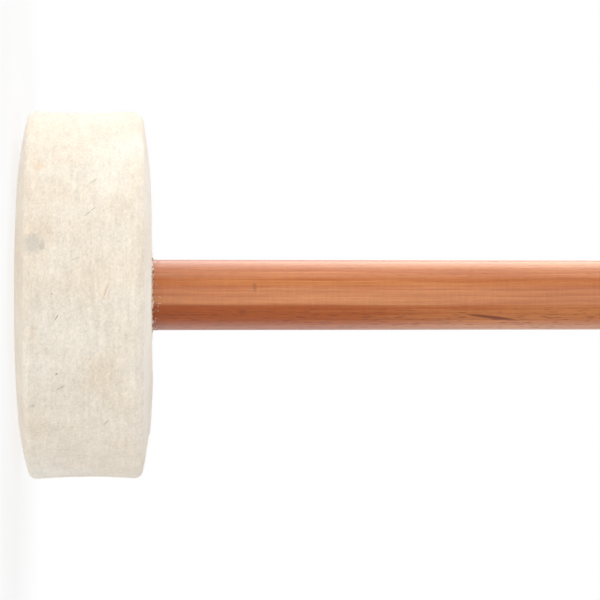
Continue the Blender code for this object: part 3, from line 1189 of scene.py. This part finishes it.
@dataclass
class Handle:
    """The turned beech handle with its hidden spigot."""

    radius: float
    low: float
    high: float
    shoulder: float
    spigot: float = 0.009
    spigot_chamfer: float = 0.0008
    pilot: float = 0.0028
    pilot_bottom: float = 0.0553
    pilot_point: float = 0.0017
    chamfer: float = 0.0004
    end_radius: float = 0.0085
    # The turning's unevenness, which starts this far outside the spigot
    turning: Swell = Swell(0.016, 2.2, 0.00005)
    turning_inset: float = 0.001
    # The mesh
    columns: int = 160
    spigot_steps: int = 6
    shoulder_steps: int = 2
    length_steps: int = 120
    end_steps: int = 14
    cap_steps: int = 4

    def outline(self) -> list[Point]:
        """Draw the outline from the bottom of the pilot hole round to the free end.

        Returns:
            The points as (r, z).
        """
        end_centre = (self.radius - self.end_radius, self.high - self.end_radius)
        return joined(
            [(0.0, self.pilot_bottom + self.pilot_point)],
            line((self.pilot, self.pilot_bottom), (self.pilot, self.low), self.spigot_steps),
            line((self.pilot, self.low), (self.spigot - self.spigot_chamfer, self.low), self.shoulder_steps),
            line((self.spigot, self.low + self.spigot_chamfer), (self.spigot, self.shoulder), self.spigot_steps),
            line((self.spigot, self.shoulder), (self.radius - self.chamfer, self.shoulder), self.shoulder_steps),
            line((self.radius, self.shoulder + self.chamfer), (self.radius, end_centre[1]), self.length_steps),
            arc(end_centre, self.end_radius, 0.0, QUARTER_TURN, self.end_steps),
            line((end_centre[0], self.high), (0.0, self.high), self.cap_steps),
        )

    def build(self, beech: bpy.types.Material) -> bpy.types.Object:
        """Build the handle, in place of its plain solid.

        Args:
            beech: The beech.

        Returns:
            The handle.
        """
        points = self.outline()
        grid = np.zeros((len(points), self.columns, 3))
        for i, (r, z) in enumerate(points):
            for j in range(self.columns):
                angle = 2 * math.pi * j / self.columns
                place = Vector((r * math.cos(angle), r * math.sin(angle), z))
                lift = self.turning.at(Vector((place.x * 2.0, place.y * 2.0, z * 0.25)))
                swell = 1.0 + (lift / r if r > self.spigot + self.turning_inset else 0.0)
                grid[i, j] = (place.x * swell, place.y * swell, z)
        mesh = turned_mesh("beech_handle", grid, closed=False)
        mesh.set_sharp_from_angle(angle=math.radians(35.0))
        piece = add_object("beech_handle", mesh, beech)
        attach(piece, BODY)
        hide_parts("handle")
        return piece


@dataclass
class GlueLine:
    """The ragged ring of glue and trapped wool where the handle leaves the felt."""

    handle_radius: float
    seat: float
    width: float = 0.0011
    height: float = 0.0009
    gap: float = 0.0003
    columns: int = 260
    steps: int = 7
    # The raggedness, as shares of the height and of the width
    middling: float = 0.55
    lowest: float = 0.16
    highest: float = 1.5
    lumps: Swell = Swell(0.0024, 4.4, 0.75)
    grit: Swell = Swell(0.0010, 8.8, 0.55)
    wide_middling: float = 0.8
    narrowest: float = 0.3
    spread: Swell = Swell(0.0030, 6.1, 0.6)
    # The wool that stands on the felt, and the crumbs that cling to the handle
    sunk: float = 0.0001
    wisp_reach: float = 0.0028
    crumbs_low: float = 0.0004
    crumbs_high: float = 0.0026
    strip_columns: int = 96

    @property
    def inner(self) -> float:
        """Return the ring's inner radius, just clear of the handle."""
        return self.handle_radius + self.gap

    def build(self, glue: bpy.types.Material) -> bpy.types.Object:
        """Build the ring, in place of its plain solid.

        Args:
            glue: The set glue.

        Returns:
            The ring.
        """
        steps = self.steps
        grid = np.zeros((steps + 2, self.columns, 3))
        for j in range(self.columns):
            angle = 2 * math.pi * j / self.columns
            out = Vector((math.cos(angle), math.sin(angle), 0.0))
            here = out * self.inner
            ragged = self.middling + self.lumps.at(here) + self.grit.at(here)
            ragged = max(self.lowest, min(self.highest, ragged))
            wide = self.width * max(self.narrowest, self.wide_middling + self.spread.at(here))
            for i in range(steps + 1):
                bend = QUARTER_TURN * i / steps
                r = self.inner + wide * math.cos(bend)
                grid[i, j] = (out.x * r, out.y * r, self.seat + self.height * ragged * math.sin(bend))
            grid[steps + 1, j] = (out.x * self.inner, out.y * self.inner, self.seat)
        mesh = turned_mesh("glue_line", grid, closed=True)
        piece = add_object("glue_line", mesh, glue)
        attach(piece, BODY)
        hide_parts("glue_bead")
        return piece

    def wisps(self, wool: bpy.types.Material) -> bpy.types.Object:
        """Grow the short wool wisps that stand on the felt against the handle's root.

        Args:
            wool: The loose wool.

        Returns:
            The wisps.
        """
        low = self.seat - self.sunk
        near, far = (self.inner, low), (self.inner + self.wisp_reach, low)
        ground = strip_mesh("wisp_ground", near, far, self.strip_columns, -1)
        coat = HairCoat("root_wisps", density=2600000.0, length=0.00075, thickness=0.00003, seed=5, lean=0.8)
        return coat.grow(ground, wool)

    def caught_wool(self, wool: bpy.types.Material) -> bpy.types.Object:
        """Scatter the crumbs of wool that cling to the handle just above the ring.

        Args:
            wool: The loose wool.

        Returns:
            The crumbs.
        """
        low = (self.handle_radius, self.seat + self.crumbs_low)
        high = (self.handle_radius, self.seat + self.crumbs_high)
        ground = strip_mesh("crumb_ground", low, high, self.strip_columns, 1)
        coat = HairCoat("caught_wool", density=620000.0, length=0.00062, thickness=0.000055, seed=23, lean=0.9)
        return coat.grow(ground, wool)


@dataclass
class Fixings:
    """The washer and the wood screw, which keep their solids and get a steel finish."""

    nodes: tuple[str, ...] = ("clamp_washer", "retaining_screw")

    def dress(self, steel: bpy.types.Material) -> list[bpy.types.Object]:
        """Give each solid its finish.

        Args:
            steel: The zinc-plated steel.

        Returns:
            The dressed solids.
        """
        dressed = []
        for name in self.nodes:
            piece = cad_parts[name]
            for place in piece.material_slots:
                place.material = steel
            dressed.append(piece)
        return dressed


@dataclass(frozen=True)
class SoftBox:
    """One rectangular soft box, with its width and height and its radiance."""

    name: str
    place: tuple[float, float, float]
    aim: tuple[float, float, float]
    size: tuple[float, float]
    radiance: float

    def hang(self) -> None:
        """Hang the box where the camera doesn't see it."""
        data = bpy.data.lights.new(self.name, "AREA")
        data.shape = "RECTANGLE"
        data.size, data.size_y = self.size
        data.energy = self.radiance * math.pi * data.size * data.size_y
        lamp = bpy.data.objects.new(self.name, data)
        lamp.location = self.place
        lamp.rotation_euler = (Vector(self.aim) - Vector(self.place)).to_track_quat("-Z", "Y").to_euler()
        lamp.visible_camera = False
        bpy.context.scene.collection.objects.link(lamp)


@dataclass
class Studio:
    """The paper, the lamps and the camera.

    The camera stands off the head, turned a little towards the handle, so that the handle stays level in the
    picture and no shift is needed.
    """

    frame_pixels: float = 600.0
    pixels_per_metre: float = 2820.0
    distance: float = 0.750
    foot_pixel: float = 118.0
    foot_height: float = 0.0348
    axis_pixel: float = 295.0
    sensor: float = 36.0
    clip_near: float = 0.05
    clip_far: float = 40.0
    paper_half: float = 0.30
    paper_drop: float = 0.0006
    room_level: float = 0.40
    boxes: tuple[SoftBox, ...] = (
        SoftBox("top_side_box", (-1.45, -0.15, 0.30), (0.0, 0.0, 0.08), (1.4, 1.4), 1.75),
        SoftBox("top_back_box", (-1.15, 0.80, 0.30), (0.0, 0.0, 0.15), (1.0, 1.6), 2.90),
        SoftBox("low_back_box", (1.25, 0.60, 0.30), (0.0, 0.0, 0.15), (1.0, 1.4), 0.80),
        SoftBox("camera_box", (0.10, -2.30, 0.30), (0.10, 0.0, 0.30), (2.8, 1.9), 1.60),
        SoftBox("overhead_box", (0.15, 0.10, 1.70), (0.0, 0.0, 0.05), (1.2, 1.2), 1.3),
    )

    def paper(self, material: bpy.types.Material) -> None:
        """Lay the floor just under the mallet.

        Args:
            material: The studio paper.
        """
        mesh = bpy.data.meshes.new("paper")
        half = self.paper_half
        flat = ((-half, -half), (half, -half), (half, half), (-half, half))
        corners = [(x, y, -self.paper_drop) for x, y in flat]
        mesh.from_pydata(corners, [], [(0, 1, 2, 3)])
        floor = add_object("paper", mesh, material)

    def sky(self) -> None:
        """Make the world: soft light all round, white to the camera and in reflections."""
        world = bpy.data.worlds.new("soft_room")
        world.use_nodes = True
        bpy.context.scene.world = world
        graph = Graph(world.node_tree)
        seen = graph.node("ShaderNodeLightPath").outputs
        shown = seen["Is Camera Ray"]
        for ray in ("Is Transmission Ray", "Is Glossy Ray"):
            shown = graph.node("ShaderNodeMath", {"operation": "MAXIMUM"}, {0: shown, 1: seen[ray]}).outputs[0]
        plain = graph.node("ShaderNodeBackground", None, {"Color": WHITE, "Strength": self.room_level})
        white = graph.node("ShaderNodeBackground", None, {"Color": WHITE, "Strength": 1.0})
        both = graph.node("ShaderNodeMixShader", None, {0: shown, 1: plain.outputs[0], 2: white.outputs[0]})
        graph.node("ShaderNodeOutputWorld", None, {0: both.outputs[0]})

    def camera(self) -> None:
        """Set the camera at the photograph's viewing angle."""
        middle = self.frame_pixels / 2
        flat_focal = self.pixels_per_metre * self.distance
        turn = math.asin((middle - self.foot_pixel) / flat_focal)
        focal = flat_focal * math.cos(turn)
        right = Vector((0.0, -math.sin(turn), math.cos(turn)))
        back = Vector((0.0, -math.cos(turn), -math.sin(turn)))
        upward = back.cross(right)
        data = bpy.data.cameras.new("camera")
        data.sensor_width = self.sensor
        data.lens = focal * self.sensor / self.frame_pixels
        data.clip_start = self.clip_near
        data.clip_end = self.clip_far
        camera = bpy.data.objects.new("camera", data)
        below = (middle - self.axis_pixel) / self.pixels_per_metre
        spot = Vector((below, -self.distance, self.foot_height))
        turned = Matrix((right, upward, back)).transposed().to_4x4()
        camera.matrix_world = Matrix.Translation(spot) @ turned
        bpy.context.scene.collection.objects.link(camera)
        bpy.context.scene.camera = camera


def main() -> None:
    """Build and dress the mallet, then set the studio."""
    logging.basicConfig(level=logging.INFO, format="%(message)s")
    bpy.context.scene.view_settings.view_transform = "Standard"
    studio = Studio()
    studio.camera()
    felt = PressedFelt().build()
    wool = WoolHair("loose_wool", (0.93, 0.87, 0.77), (0.84, 0.76, 0.64)).build()
    dark = WoolHair("dark_hair", (0.52, 0.47, 0.40), (0.17, 0.14, 0.12)).build()
    red = WoolHair("red_hair", (0.78, 0.50, 0.30), (0.62, 0.32, 0.20)).build()

    _, head_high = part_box("felt_head")
    handle_low, handle_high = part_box("handle")
    glue_low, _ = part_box("glue_bead")
    head = FeltHead(radius=head_high[0], thickness=head_high[2])
    disc = head.build(felt)
    report(disc)
    for piece in (head.hairs(disc, wool), *head.stray_hairs(dark, red)):
        report(piece)

    handle = Handle(radius=handle_high[0], low=handle_low[2], high=handle_high[2], shoulder=glue_low[2])
    beech = Beech(radius=handle.radius, root=handle.shoulder).build()
    report(handle.build(beech))
    glue_line = GlueLine(handle_radius=handle.radius, seat=handle.shoulder)
    report(glue_line.build(SetGlue().build()))
    report(glue_line.wisps(wool))
    report(glue_line.caught_wool(wool))
    for piece in Fixings().dress(ZincSteel().build()):
        report(piece)

    studio.paper(StudioPaper().build())
    for box in studio.boxes:
        box.hang()
    studio.sky()


if __name__ == "__main__":
    main()
